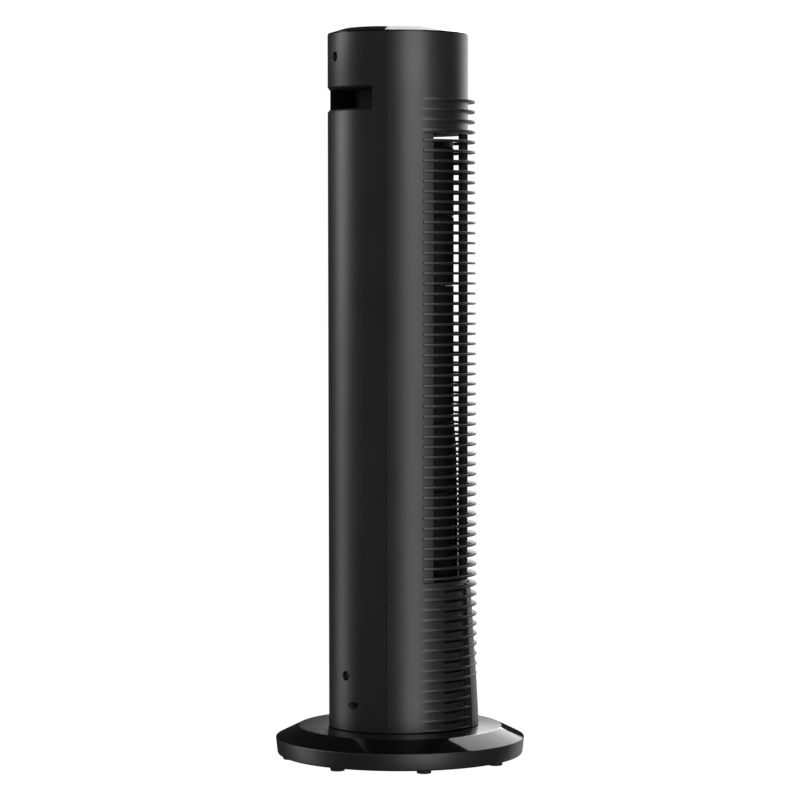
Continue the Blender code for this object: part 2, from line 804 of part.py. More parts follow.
def build_motor():
    """The main motor's can under the lower bulkhead, and its run capacitor."""
    high = lower_bulkhead_low - touch_gap
    bore = shaft_radius + running_gap
    turned("motor_case", [
        (bore, high),
        (0.014, high),
        (0.014, high - 0.006),
        (motor_radius - 0.004, high - 0.006),
        (motor_radius, high - 0.012),
        (motor_radius, motor_low + 0.008),
        (motor_radius - 0.004, motor_low),
        (0, motor_low),
        (0, motor_low + 0.005),
        (bore, motor_low + 0.005),
    ], steel, steps=14, closed=True, centre=(0, -wheel_offset))
    width, depth, height = capacitor_size
    box("run_capacitor", (-width / 2, capacitor_y, high - height), (width / 2, capacitor_y + depth, high),
        board_green)


def build_head():
    """The grip recess's cup, the glossy cap, the control panel with its buttons, and their board."""
    cup = box("handle_cup", (-grip_half_width - cup_wall, grip_floor_y - cup_wall, grip_low - cup_wall),
              (grip_half_width + cup_wall, rear_reach_top, grip_high + cup_wall), black_matte)
    hollow = box("cup_hollow", (-grip_half_width, grip_floor_y, grip_low),
                 (grip_half_width, rear_reach_top + 0.01, grip_high))
    boolean(cup, hollow)
    inner = flat("cup_trim", [tower_outline(grip_low, wall + 0.0006)], grip_low - 0.01, grip_high + 0.01, None)
    boolean(cup, to_mesh(inner), "INTERSECT")
    inset = wall + 0.0004
    top = total_height
    rim_line = tower_outline(tower_rim, inset)
    bevel_line = tower_outline(tower_rim, inset + cap_step)
    flat_line = [spot * cap_flat_scale for spot in tower_outline(tower_rim, 0)]
    lip = [spot.normalized() for spot in flat_line]
    shelf = top - panel_top_drop - panel_thickness - touch_gap
    levels = [
        (tower_rim - cap_skirt, rim_line),
        (tower_rim + 0.0004, rim_line),
        (tower_rim + 0.0012, bevel_line),
        (top, flat_line),
        (top, [ray * (panel_radius + touch_gap) for ray in lip]),
        (shelf, [ray * (panel_radius + touch_gap) for ray in lip]),
        (shelf, [ray * (panel_radius - shelf_width) for ray in lip]),
    ]
    wall_between("top_cap", levels, cap_wall, black_gloss, closed=True)
    panel_high = top - panel_top_drop
    spots = [((i - 1.5) * button_pitch, button_row_y) for i in range(4)]
    panel_edge = [ray * panel_radius for ray in lip]
    holes = [[Vector(spot) + point(i * 45, button_radius + running_gap) for i in range(8)] for spot in spots]
    flat("control_panel", [panel_edge, *holes], panel_high - panel_thickness, panel_high, black_gloss)
    flange_high = panel_high - panel_thickness - touch_gap
    stem_end = board_height + board_thickness + button_travel + touch_gap
    for name, spot in zip(button_names, spots):
        turned(name, [
            (0, panel_high + button_height),
            (button_radius - button_edge, panel_high + button_height),
            (button_radius, panel_high + button_height - button_edge),
            (button_radius, flange_high),
            (button_radius + button_flange, flange_high),
            (button_radius + button_flange, flange_high - button_flange_thickness),
            (button_stem_radius, flange_high - button_flange_thickness),
            (button_stem_radius, stem_end),
            (0, stem_end),
        ], black_matte, steps=8, centre=spot)
    board_top = board_height + board_thickness
    board = to_mesh(flat("control_board", [[point(i * 18, board_radius) for i in range(20)]], board_height,
                         board_top, board_green))
    for turn in (-135, -45, 45, 135):
        post = cylinder("board_post", board_post_radius, board_top - board_thickness / 2,
                        shelf - cap_wall - touch_gap, point(turn, board_radius - board_post_radius - 0.0006), steps=8)
        boolean(board, post, "UNION")


clear_scene()
parts = new_collection("tower_fan")
cutters = new_collection("cutters")
cutters.hide_render = True
tower_floor = tower_bottom + 0.0010
bearing_cup_radius = bush_radius + 0.0035
button_names = ("button_power", "button_speed", "button_swing", "button_timer")

black_satin = new_material("black_satin_abs", (0.018, 0.018, 0.019), 0.42)
black_gloss = new_material("black_gloss_abs", (0.008, 0.008, 0.009), 0.08)
black_matte = new_material("black_matte_abs", (0.014, 0.014, 0.015), 0.6)
black_wheel = new_material("black_wheel_abs", (0.008, 0.008, 0.008), 0.5)
rubber = new_material("black_rubber", (0.015, 0.015, 0.015), 0.8)
steel = new_material("zinc_plated_steel", (0.5, 0.5, 0.5), 0.35, 1.0)
nylon = new_material("white_acetal", (0.7, 0.7, 0.66), 0.4)
board_green = new_material("board_green", (0.03, 0.12, 0.05), 0.5)

base, tower, wheel_axis, pinion_axis = (bpy.data.objects.new(name, None) for name in (
    "base_frame", "tower_frame", "wheel_axis", "pinion_axis"))
for empty in (base, tower, wheel_axis, pinion_axis):
    parts.objects.link(empty)
base.rotation_euler.z = math.radians(swing_shown)
tower.parent = base
tower.rotation_euler.z = -base.rotation_euler.z
wheel_axis.parent = tower
pinion_axis.parent = tower

build_base()
build_column()
build_swivel()
build_rear_housing()
build_front_housing()
build_lower_front_panel()
build_front_grille()
build_ducts()
build_wheel()
build_bearing()
build_motor()
build_head()
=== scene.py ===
"""Finished look of a black 28-inch tower fan: shells, louvres, wheel, base, studio and camera."""

import json
import math

import bmesh
import bpy
from mathutils import Matrix, Vector


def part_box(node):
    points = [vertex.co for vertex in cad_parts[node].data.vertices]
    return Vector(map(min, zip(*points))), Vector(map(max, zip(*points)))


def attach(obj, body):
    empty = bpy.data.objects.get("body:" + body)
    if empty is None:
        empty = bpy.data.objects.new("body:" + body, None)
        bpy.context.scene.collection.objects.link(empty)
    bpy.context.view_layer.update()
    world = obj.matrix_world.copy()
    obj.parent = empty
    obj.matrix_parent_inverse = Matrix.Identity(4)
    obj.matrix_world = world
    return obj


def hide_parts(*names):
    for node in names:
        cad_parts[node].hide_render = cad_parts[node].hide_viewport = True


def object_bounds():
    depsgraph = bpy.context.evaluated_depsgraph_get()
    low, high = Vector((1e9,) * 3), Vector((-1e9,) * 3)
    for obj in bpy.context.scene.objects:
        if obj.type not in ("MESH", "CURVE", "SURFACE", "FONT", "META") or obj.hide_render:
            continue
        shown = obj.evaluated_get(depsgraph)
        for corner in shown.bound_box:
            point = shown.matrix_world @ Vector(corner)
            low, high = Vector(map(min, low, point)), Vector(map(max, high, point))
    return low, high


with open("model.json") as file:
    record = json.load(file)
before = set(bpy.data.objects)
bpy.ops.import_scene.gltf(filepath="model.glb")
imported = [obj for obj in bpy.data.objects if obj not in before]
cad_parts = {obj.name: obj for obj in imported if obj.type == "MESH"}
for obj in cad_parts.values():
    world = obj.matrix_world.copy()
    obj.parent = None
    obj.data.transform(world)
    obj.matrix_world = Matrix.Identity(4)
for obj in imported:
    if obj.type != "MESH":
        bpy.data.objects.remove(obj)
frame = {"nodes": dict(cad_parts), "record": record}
cad_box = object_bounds()

# ---------------------------------------------------------------- sizes, in metres and degrees

# Shells. phi is the angle round the tower from its front.
shell_low, shell_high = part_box("front_housing")[0].z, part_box("front_housing")[1].z
tower_radius = 0.0665
shell_wall = 0.0022
rim_round, rim_step = 0.0007, 0.0002
seam_phi = 131.2
opening_phi = 100.6
opening_low, opening_high = 0.1757, 0.6090

# Ribs, counted from the top: first the head's, then the grille's, then the lower wall's.
rib_top = 0.6408
rib_pitch = 0.00981
rib_count = 63
head_ribs = 4
lower_ribs = 15
rib_half = 0.00120
rib_fillet = 0.0012
rib_end_phi = 100.0
rib_end_radius = 0.0668
rib_reach_top, rib_reach_low = 0.0743, 0.0768
rib_full = 0.0755
rib_inner = 0.0629
strip_phi, strip_end_gap = 90.5, 0.4
strip_inner, strip_outer = rib_inner - 0.0008, tower_radius - 0.0012
stiffener_phi, stiffener_width = 39.0, 1.6
stiffener_inner, stiffener_outer = 0.0617, 0.0668

# Slots under the lower ribs.
slot_start_phi, slot_end_phi, slot_end_width = 50.0, 80.0, 0.4
slot_height = 0.0027
slot_floor = 0.0615
slot_back = 0.0012

# Rear shell: an arc, with a flat flank between it and each seam.
rear_centre = 0.0136
rear_radius = 0.0587
rear_arc_half = 43.0
rear_flank = 0.0157
rear_seam_y = 0.0458
rear_reach_low, rear_reach_high = 0.0707, 0.0723

# Grip recess, screw wells and cord hole, the last three as (phi, height).
grip_half, grip_low, grip_high = 0.0418, 0.6305, 0.6537
grip_floor_y = 0.0320
grip_outer_y = 0.0560
grip_wall = 0.0016
grip_corner = 0.0025
grip_margin = 0.0002
lip_round = 0.0005
well_radius = 0.0047
well_depth = 0.0040
well_wall = 0.0012
screw_radius = 0.0036
cross_width, cross_depth = 0.0009, 0.0024
upper_well = (180.0, 0.6827)
lower_well = (192.0, 0.0850)
cord_hole = (201.0, 0.0566)
cord_hole_half = 0.008
tool_depth = 0.02

# Lower panel: (height, reach) along its front.
panel_edge_phi = 49.6
panel_root = 0.0671
panel_levels = (
    (0.0317, 0.0785), (0.0469, 0.0780), (0.0577, 0.0773), (0.0775, 0.0761), (0.0970, 0.0744),
    (0.1170, 0.0731), (0.1380, 0.0718), (0.1580, 0.0702), (0.1718, 0.0692), (0.1725, 0.0686),
)

# Cap and controls.
cap_low = 0.6990
cap_inset = 0.0027
cap_wall = 0.0012
cap_centre_y = 0.002
panel_well_radius = 0.0433
button_hole_radius, button_hole_depth = 0.0053, 0.01
dot_offset = 0.0105

# Wheel and duct.
wheel_y = -0.0114
wheel_radius = 0.0421
wheel_low = 0.1940
segment_pitch = 0.0670
segment_count = 6
segment_gap = 0.0013
blade_count = 36
blade_thickness = 0.0009
# Points along one blade, as (reach, phi).
blade_curve = ((0.0325, 0.0), (0.0350, 2.5), (0.0375, 6.5), (0.0397, 12.0), (0.0419, 20.0))
disc_edge = 0.0006
lining_phi, lining_width = 37.5, 11.5
lining_inner, lining_outer, lining_round = 0.0600, 0.0615, 0.0003
deflector_radius, deflector_wall = 0.0597, 0.0012
deflector_far_phi = 57.0
# The deflector's near edge, as (share of its height, phi).
deflector_slant = ((0.0, -14), (0.16, -12), (0.30, -8), (0.44, 3), (0.70, 22), (1.0, 30))

# Base.
base_radius = 0.1220
base_turn = 30.5
parting_half = 0.09
deck_radius = 0.1001
deck_wall = 0.0025
foot_radius = 0.0070

# Tolerances: for merging verts, for cutting planes, and for telling one reach from another.
merge_gap = 0.000002
plane_gap = 0.000001
hair = 0.00001
tenth = 0.0001


def flare(phi, reach):
    """Reach along phi of the circle that fades into the wall at both rib ends."""
    end_y = -rib_end_radius * math.cos(math.radians(rib_end_phi))
    centre = (reach**2 - rib_end_radius**2) / (2 * (reach + end_y))
    along = centre * math.cos(math.radians(phi))
    return along + math.sqrt(along**2 + (reach - centre) ** 2 - centre**2)


def rib_reach(height):
    """How far forward a rib reaches: a little more for each rib further down."""
    share = (rib_top - height) / (rib_top - shell_low)
    return rib_reach_top + (rib_reach_low - rib_reach_top) * share


def rear_reach(height):
    """How far back the rear shell reaches: it leans out towards the top."""
    share = (height - shell_low) / (shell_high - shell_low)
    return rear_reach_low + (rear_reach_high - rear_reach_low) * share


def lean(y, height):
    """Stretches a distance along Y behind the seam to the rear shell's reach at that height."""
    plain_reach = rear_centre + rear_radius
    return rear_seam_y + (y - rear_seam_y) * (rear_reach(height) - rear_seam_y) / (
        plain_reach - rear_seam_y)


def surface_y(spot):
    """How far back the rear shell's outside is at that x and height, along +Y."""
    turn = math.radians(rear_arc_half)
    arc_x = rear_radius * math.sin(turn)
    if abs(spot.x) < arc_x:
        plain = rear_centre + math.sqrt(rear_radius**2 - spot.x**2)
    else:
        plain = rear_centre + rear_radius * math.cos(turn) - (abs(spot.x) - arc_x) * math.tan(turn)
    return lean(plain, spot.z)


def rear_surface(phi, height):
    """Distance from the tower's axis to the rear shell's outside along phi."""
    reach = 0.07
    for _ in range(12):
        spot = Vector((reach * math.sin(math.radians(phi)), 0, height))
        reach += (surface_y(spot) + reach * math.cos(math.radians(phi))) * 0.8
    return reach


def phi_of(spot):
    """Angle round the tower from its front, positive towards +X."""
    return math.degrees(math.atan2(spot.x, -spot.y))


# ---------------------------------------------------------------- mesh helpers


def verts_of(geom):
    return [item for item in geom if isinstance(item, bmesh.types.BMVert)]


def edges_of(geom):
    return [item for item in geom if isinstance(item, bmesh.types.BMEdge)]


def everything(bm):
    return bm.verts[:] + bm.edges[:] + bm.faces[:]


def section(bm, spots, phi=0.0, centre_y=0.0, closed=True):
    """Joins (reach, height) spots into a line or loop in the upright plane at phi."""
    turn = Matrix.Rotation(math.radians(phi), 3, "Z")
    centre = Vector((0, centre_y, 0))
    verts = [bm.verts.new(turn @ Vector((0, -reach, height)) + centre) for reach, height in spots]
    ends = verts[1:] + (verts[:1] if closed else [])
    return verts + [bm.edges.new(pair) for pair in zip(verts, ends)]


def sweep(bm, geom, spans, centre_y=0.0):
    """Spins a section round an upright axis, span by span, as (degrees, steps)."""
    for angle, steps in spans:
        geom = bmesh.ops.spin(
            bm, geom=geom, cent=(0, centre_y, 0), axis=(0, 0, 1), dvec=(0, 0, 0),
            angle=math.radians(angle), steps=steps, use_merge=False, use_duplicate=False,
        )["geom_last"]
    return geom


def walk(bm, row, angle, steps, centre_y=0.0):
    """Carries a row's last vert round an upright axis and adds it to the row at each step."""
    for _ in range(steps):
        step = bmesh.ops.spin(bm, geom=[row[-1]], cent=(0, centre_y, 0), axis=(0, 0, 1),
                              dvec=(0, 0, 0), angle=math.radians(angle / steps), steps=1)
        row += verts_of(step["geom_last"])


def cap(bm, geom):
    """Closes a flat loop with one face."""
    bmesh.ops.contextual_create(bm, geom=edges_of(geom))


def ring(bm, spots, steps, centre_y=0.0, centre_x=0.0):
    """A full turn of a line of spots about an upright axis."""
    before = set(bm.verts)
    bmesh.ops.spin(bm, geom=section(bm, spots, closed=False), cent=(0, 0, 0), axis=(0, 0, 1),
                   dvec=(0, 0, 0), angle=math.tau, steps=steps, use_merge=True,
                   use_duplicate=False)
    grown = [vert for vert in bm.verts if vert not in before]
    bmesh.ops.translate(bm, vec=(centre_x, centre_y, 0), verts=grown)
    return grown


def drum(radius, segments, depth):
    """A closed upright cylinder, as a cutting tool."""
    bm = bmesh.new()
    bmesh.ops.create_cone(bm, cap_ends=True, segments=segments, radius1=radius, radius2=radius,
                          depth=depth)
    return bm


def grow_row(bm, edges, row):
    """Extrudes a closed row: the new edges, and the new verts in the old row's order."""
    grown = bmesh.ops.extrude_edge_only(bm, edges=edges)["geom"]
    fresh = set(verts_of(grown))
    above = []
    for vert in row:
        others = (edge.other_vert(vert) for edge in vert.link_edges)
        above.append(next(other for other in others if other in fresh))
    return [edge for edge in edges_of(grown) if fresh.issuperset(edge.verts)], above


def split(bm, spot, normal):
    """Draws new edges where a plane crosses the mesh."""
    bmesh.ops.bisect_plane(bm, geom=everything(bm), dist=plane_gap, plane_co=spot, plane_no=normal)


def round_off(bm, edges, offset, segments):
    bmesh.ops.bevel(bm, geom=edges, offset=offset, offset_type="OFFSET", segments=segments,
                    profile=0.5, affect="EDGES", material=-1, clamp_overlap=True)


def open_window(bm, inside):
    """Takes out the faces inside a window of both walls, and lines its rim."""
    gone = [face for face in bm.faces if inside(face.calc_center_median())]
    bmesh.ops.delete(bm, geom=gone, context="FACES")
    bmesh.ops.bridge_loops(bm, edges=[edge for edge in bm.edges if edge.is_boundary])


def outward(bm):
    bmesh.ops.remove_doubles(bm, verts=bm.verts, dist=merge_gap)
    bmesh.ops.recalc_face_normals(bm, faces=bm.faces)


def mesh_object(name, bm, finishes, smooth=35.0):
    """Makes the piece, facing outwards, smooth up to that angle between faces."""
    outward(bm)
    mesh = bpy.data.meshes.new(name)
    bm.to_mesh(mesh)
    bm.free()
    for finish in finishes:
        mesh.materials.append(finish)
    mesh.shade_smooth()
    mesh.set_sharp_from_angle(angle=math.radians(smooth))
    made = bpy.data.objects.new(name, mesh)
    bpy.context.scene.collection.objects.link(made)
    return made


def settle(made, body, slot, *nodes):
    """Puts a finished piece on its body, in place of its CAD nodes."""
    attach(made, body)
    if nodes:
        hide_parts(*nodes)


def cut(made, bm, smooth=35.0):
    """Cuts a closed shape out of a piece, for good."""
    tool = mesh_object(made.name + "_tool", bm, [])
    step = made.modifiers.new("Cut", "BOOLEAN")
    step.operation, step.solver, step.object = "DIFFERENCE", "EXACT", tool
    bpy.context.view_layer.update()
    solved = made.evaluated_get(bpy.context.evaluated_depsgraph_get())
    fresh = bpy.data.meshes.new_from_object(solved)
    made.modifiers.clear()
    old, made.data = made.data, fresh
    fresh.name = old.name + "_cut"
    bpy.data.meshes.remove(old)
    bpy.data.objects.remove(tool)
    made.data.shade_smooth()
    made.data.set_sharp_from_angle(angle=math.radians(smooth))


def pointing(bm, verts, phi, reach, height):
    """Lays verts that stand along +Z so that they point outwards along phi, from that reach."""
    out = Vector((math.sin(math.radians(phi)), -math.cos(math.radians(phi)), 0))
    up = Vector((0, 0, 1))
    turn = Matrix((up.cross(out), up, out)).transposed()
    if turn.determinant() < 0:
        turn = Matrix((out.cross(up), up, out)).transposed()
    bmesh.ops.rotate(bm, cent=(0, 0, 0), matrix=turn, verts=verts)
    bmesh.ops.translate(bm, vec=out * reach + up * height, verts=verts)


# ---------------------------------------------------------------- materials


def linear(code):
    """Linear colour from an sRGB hex code."""
    channels = [int(code[i:i + 2], 16) / 255 for i in (1, 3, 5)]
    return tuple(c / 12.92 if c <= 0.04045 else ((c + 0.055) / 1.055) ** 2.4
                 for c in channels) + (1.0,)


def node(tree, kind, settings=None, **inputs):
    """Adds a node, sets its options, and sets or links its inputs by name or by number."""
    made = tree.nodes.new(kind)
    for key, value in (settings or {}).items():
        setattr(made, key, value)
    for key, value in inputs.items():
        numbered = key[0] == "i" and key[1:].isdigit()
        socket = made.inputs[int(key[1:]) if numbered else key.replace("_", " ")]
        if isinstance(value, bpy.types.NodeSocket):
            tree.links.new(value, socket)
        else:
            socket.default_value = value
    return made


def surface(name):
    """A new material: its node tree, its shader and the piece's own coordinates."""
    finish = bpy.data.materials.new(name)
    finish.use_nodes = True
    tree = finish.node_tree
    place = node(tree, "ShaderNodeTexCoord").outputs["Object"]
    return finish, tree, tree.nodes["Principled BSDF"], place


def plastic(name, dark, light, roughness, spread, grain_mm, grain_depth, ior=1.5, coat=0.0):
    """Moulded plastic: a tint that drifts over the moulding, uneven gloss, and relief.

    The relief is a grain, which is 0.05 to 0.3 mm on the real ones, too fine to show, and so is
    drawn a few times as coarse. On polished plastic it is the ripple that a mould leaves.
    """
    finish, tree, shader, place = surface(name)
    shader.inputs["IOR"].default_value = ior
    shader.inputs["Coat Weight"].default_value = coat
    drift = node(tree, "ShaderNodeTexNoise", Vector=place, Scale=14.0, Detail=3.0).outputs["Fac"]
    tint = node(tree, "ShaderNodeMix", {"data_type": "RGBA"}, Factor=drift,
                i6=linear(dark), i7=linear(light))
    tree.links.new(tint.outputs[2], shader.inputs["Base Color"])
    gloss = node(tree, "ShaderNodeMapRange", Value=drift, From_Min=0.3, From_Max=0.7,
                 To_Min=roughness - spread, To_Max=roughness + spread)
    tree.links.new(gloss.outputs["Result"], shader.inputs["Roughness"])
    grain = node(tree, "ShaderNodeTexNoise", Vector=place, Scale=1000.0 / grain_mm, Detail=2.0)
    relief = node(tree, "ShaderNodeBump", Height=grain.outputs["Fac"], Distance=grain_depth,
                  Strength=1.0)
    tree.links.new(relief.outputs["Normal"], shader.inputs["Normal"])
    return finish


def metal(name, colour, roughness, marks_mm):
    """Turned steel: the mirror of a metal, dulled by turning marks drawn coarse enough to show."""
    finish, tree, shader, place = surface(name)
    shader.inputs["Metallic"].default_value = 1.0
    shader.inputs["Base Color"].default_value = linear(colour)
    marks = node(tree, "ShaderNodeTexNoise", Vector=place, Scale=1000.0 / marks_mm,
                 Detail=4.0).outputs["Fac"]
    dull = node(tree, "ShaderNodeMapRange", Value=marks,
                To_Min=roughness - 0.1, To_Max=roughness + 0.15)
    tree.links.new(dull.outputs["Result"], shader.inputs["Roughness"])
    relief = node(tree, "ShaderNodeBump", Height=marks, Distance=0.00001, Strength=0.6)
    tree.links.new(relief.outputs["Normal"], shader.inputs["Normal"])
    return finish


# Spark-eroded ABS of the shells: an even satin black that blurs the lamps into soft bands.
satin_abs = plastic("satin_black_abs", "#1b1b1c", "#1f1f20", 0.40, 0.02, 0.9, 0.000004)
# Polished ABS of the cap and of the base's bevel: a deep black that mirrors the room, with a
# ripple of about 6 mm.
gloss_abs = plastic("polished_black_abs", "#08080a", "#0a0a0c", 0.06, 0.01, 6.0, 0.000004)
# Fine-polished ABS of the base's deck: mirrors the tower, a little blurred.
deck_abs = plastic("fine_polished_black_abs", "#141415", "#171718", 0.26, 0.02, 1.2, 0.000004)
# Matt black ABS of the grip recess, the screw wells and the outlet's lining, painted darker than
# the other black plastics and given a weaker reflection: painted shade for the shade that falls in
# these hollows.
recess_shade_abs = plastic("matt_black_abs_painted_recess_shade", "#070707", "#0b0b0b", 0.75, 0.05, 0.9, 0.00001,
                     ior=1.3)
# Unpolished ABS of inner walls, buttons and gland: matt black with a visible grain.
matte_abs = plastic("matt_black_abs", "#141414", "#191919", 0.62, 0.05, 0.8, 0.00001)
# Glass-filled black nylon of the wheel, moulded: dull, almost without gloss, and painted near
# black with a weak reflection as painted shade of the duct it turns in.
wheel_shade_plastic = plastic("black_nylon_painted_duct_shade", "#030303", "#060606", 0.62, 0.05, 0.7,
                        0.00001, ior=1.25)
# Moulded rubber of feet and bushes: dark grey, matt and coarse.
black_rubber = plastic("moulded_black_rubber", "#101010", "#161616", 0.78, 0.06, 0.6, 0.00002)
# Moulded acetal of the swivel and the indicator dots: milky white, slightly waxy.
white_acetal = plastic("white_acetal", "#d8d8d0", "#e2e2dc", 0.35, 0.05, 1.0, 0.000005, ior=1.48)
# Glass-fibre board under a brushed lacquer: green with a wet shine.
board_green = plastic("lacquered_green_board", "#0f3d1c", "#175227", 0.25, 0.05, 0.5, 0.00001,
                      coat=0.5)
# Turned and blackened steel of the two shell screws: dark, with a dull glint.
black_screw = metal("blackened_steel", "#2a2a2c", 0.42, 0.6)
# Turned and zinc-plated steel of the drive and the base screws: a grey, slightly cloudy mirror.
zinc_steel = metal("zinc_plated_steel", "#8f9092", 0.32, 0.5)

by_slot = {
    "black_satin": satin_abs, "black_gloss": gloss_abs, "black_matte": matte_abs,
    "black_wheel": wheel_shade_plastic, "black_rubber": black_rubber, "steel": zinc_steel,
    "white_acetal": white_acetal, "board": board_green,
}


def finish_cad_nodes():
    """Gives every CAD node the finish of its slot."""
    slots = {entry["node"]: entry["material_slot"] for entry in frame["record"]["subparts"]}
    for name, cad in frame["nodes"].items():
        finish = by_slot[slots[name]]
        if not cad.material_slots:
            cad.data.materials.append(finish)
        for place in cad.material_slots:
            place.material = finish


# ---------------------------------------------------------------- tower shells


def fin_tip(under, over):
    """Rounded tip of a fin, from its underside to its top."""
    height = (under + over) / 2
    return [(rib_full - 0.0008, under), (rib_full - 0.0002, under + 0.0004), (rib_full, height),
            (rib_full - 0.0002, over - 0.0004), (rib_full - 0.0008, over)]


def fin(height, root="fillet"):
    """A fin on the wall, from under it to over it; its lower root is a fillet, a slot or none."""
    under, over = height - rib_half, height + rib_half
    slot_high = under - 0.0004
    slot_low = under - slot_height - 0.0004
    spots = []
    if root == "slot":
        spots += [(tower_radius, slot_low), (slot_floor, slot_low), (slot_floor, slot_high),
                  (tower_radius, slot_high)]
    elif root == "fillet":
        spots += [(tower_radius, under - rib_fillet), (tower_radius + 0.0003, under - 0.0005)]
    spots += [(tower_radius + rib_fillet, under)] + fin_tip(under, over)
    spots += [(tower_radius + rib_fillet, over), (tower_radius + 0.0003, over + 0.0005),
              (tower_radius, over + rib_fillet)]
    return spots


def build_front_shell():
    """Head, side walls and ribbed lower wall of the front shell, with the tall opening."""
    head_inner = tower_radius - shell_wall
    lower_inner = slot_floor - slot_back
    outer = [(tower_radius - 0.0004, shell_low), (tower_radius, shell_low + 0.0003)]
    for index in range(rib_count - 1, rib_count - lower_ribs - 1, -1):
        root = "none" if index == rib_count - 1 else "slot"
        outer += [spot for spot in fin(rib_top - rib_pitch * index, root)
                  if spot[1] > shell_low + 0.0004]
    outer += [(tower_radius, opening_low), (tower_radius, opening_high)]
    for index in range(head_ribs - 1, -1, -1):
        outer += fin(rib_top - rib_pitch * index)
    outer += [(tower_radius, shell_high - rim_round),
              (tower_radius - rim_step, shell_high - rim_step),
              (tower_radius - rim_round, shell_high)]
    inner = [(head_inner, shell_high), (head_inner, opening_high), (head_inner, opening_low),
             (head_inner, opening_low - 0.0015), (lower_inner, opening_low - 0.002),
             (lower_inner, shell_low + 0.002), (head_inner, shell_low + 0.0015),
             (head_inner, shell_low)]
    bm = bmesh.new()
    start = section(bm, outer + inner, -seam_phi)
    cap(bm, start)
    half_end = slot_end_width / 2
    half = [(seam_phi - opening_phi, 12), (opening_phi - slot_end_phi - half_end, 9),
            (slot_end_width, 1), (slot_end_phi - slot_start_phi - slot_end_width, 14),
            (slot_end_width, 1)]
    middle = 2 * (slot_start_phi - half_end)
    cap(bm, sweep(bm, start, half + [(middle, 46)] + half[::-1]))
    bmesh.ops.remove_doubles(bm, verts=bm.verts, dist=merge_gap)
    # Draws each fin out to its flared reach, and fills the slots outside their span.
    for vert in bm.verts:
        phi, reach, height = phi_of(vert.co), vert.co.xy.length, vert.co.z
        in_slots = slot_start_phi < abs(phi) < slot_end_phi
        if reach > tower_radius + hair and abs(phi) < rib_end_phi:
            flared = flare(phi, rib_reach(height)) - tower_radius
            share = max(flared / (rib_full - tower_radius), 0)
            fresh = tower_radius + (reach - tower_radius) * share
        elif reach > tower_radius + hair or abs(reach - slot_floor) < tenth and not in_slots:
            fresh = tower_radius
        else:
            continue
        vert.co.xy *= fresh / reach
    open_window(bm, lambda spot: opening_low < spot.z < opening_high
                and abs(phi_of(spot)) < opening_phi)
    bmesh.ops.dissolve_degenerate(bm, dist=merge_gap, edges=bm.edges)
    shell = mesh_object("front_shell", bm, [satin_abs])
    settle(shell, "tower", "black_satin", "front_housing")


def build_grille():
    """The louvre insert: rounded ribs that fade at the sides, side strips and stiffeners."""
    bm = bmesh.new()
    loops = []
    for index in range(head_ribs, rib_count - lower_ribs):
        height = rib_top - rib_pitch * index
        under, over = height - rib_half, height + rib_half
        spots = [(rib_inner, over - 0.0003), (rib_inner, under + 0.0003),
                 (rib_inner + 0.0003, under)]
        spots += fin_tip(under, over) + [(rib_inner + 0.0003, over)]
        loops += section(bm, spots, -rib_end_phi)
    for geom in (loops, sweep(bm, loops, [(2 * rib_end_phi, 72)])):
        bmesh.ops.edgeloop_fill(bm, edges=edges_of(geom))
    for vert in bm.verts:
        phi, reach = phi_of(vert.co), vert.co.xy.length
        share = (flare(phi, rib_reach(vert.co.z)) - rib_inner) / (rib_full - rib_inner)
        vert.co.xy *= (rib_inner + (reach - rib_inner) * share) / reach
    rounding = 0.0003
    low, high = opening_low + rounding, opening_high - rounding
    bars = ((strip_phi, opening_phi - strip_phi - strip_end_gap, strip_inner, strip_outer),
            (stiffener_phi, stiffener_width, stiffener_inner, stiffener_outer))
    for side in (-1, 1):
        for first, width, inner, outer in bars:
            loop = section(bm, [
                (inner, low), (outer - rounding, low), (outer, low + rounding),
                (outer, high - rounding), (outer - rounding, high), (inner, high),
            ], side * first)
            cap(bm, loop)
            cap(bm, sweep(bm, loop, [(side * width, 6)]))
    grille = mesh_object("louvre_grille", bm, [satin_abs])
    settle(grille, "tower", "black_satin", "front_grille")


def sweep_rear(bm, loop):
    """Sweeps a section round the back: a flat flank, the arc, and the other flank, closed."""
    last = sweep(bm, loop, [(2 * rear_arc_half, 64)], rear_centre)
    turn = math.radians(rear_arc_half)
    ends = []
    for edges, side in ((edges_of(loop), 1), (edges_of(last), -1)):
        grown = bmesh.ops.extrude_edge_only(bm, edges=edges)["geom"]
        along = Vector((side * math.cos(turn), -math.sin(turn), 0)) * rear_flank
        bmesh.ops.translate(bm, vec=along, verts=verts_of(grown))
        ends.append(grown)
    for end in ends:
        cap(bm, [edge for edge in edges_of(end) if all(vert in end for vert in edge.verts)])


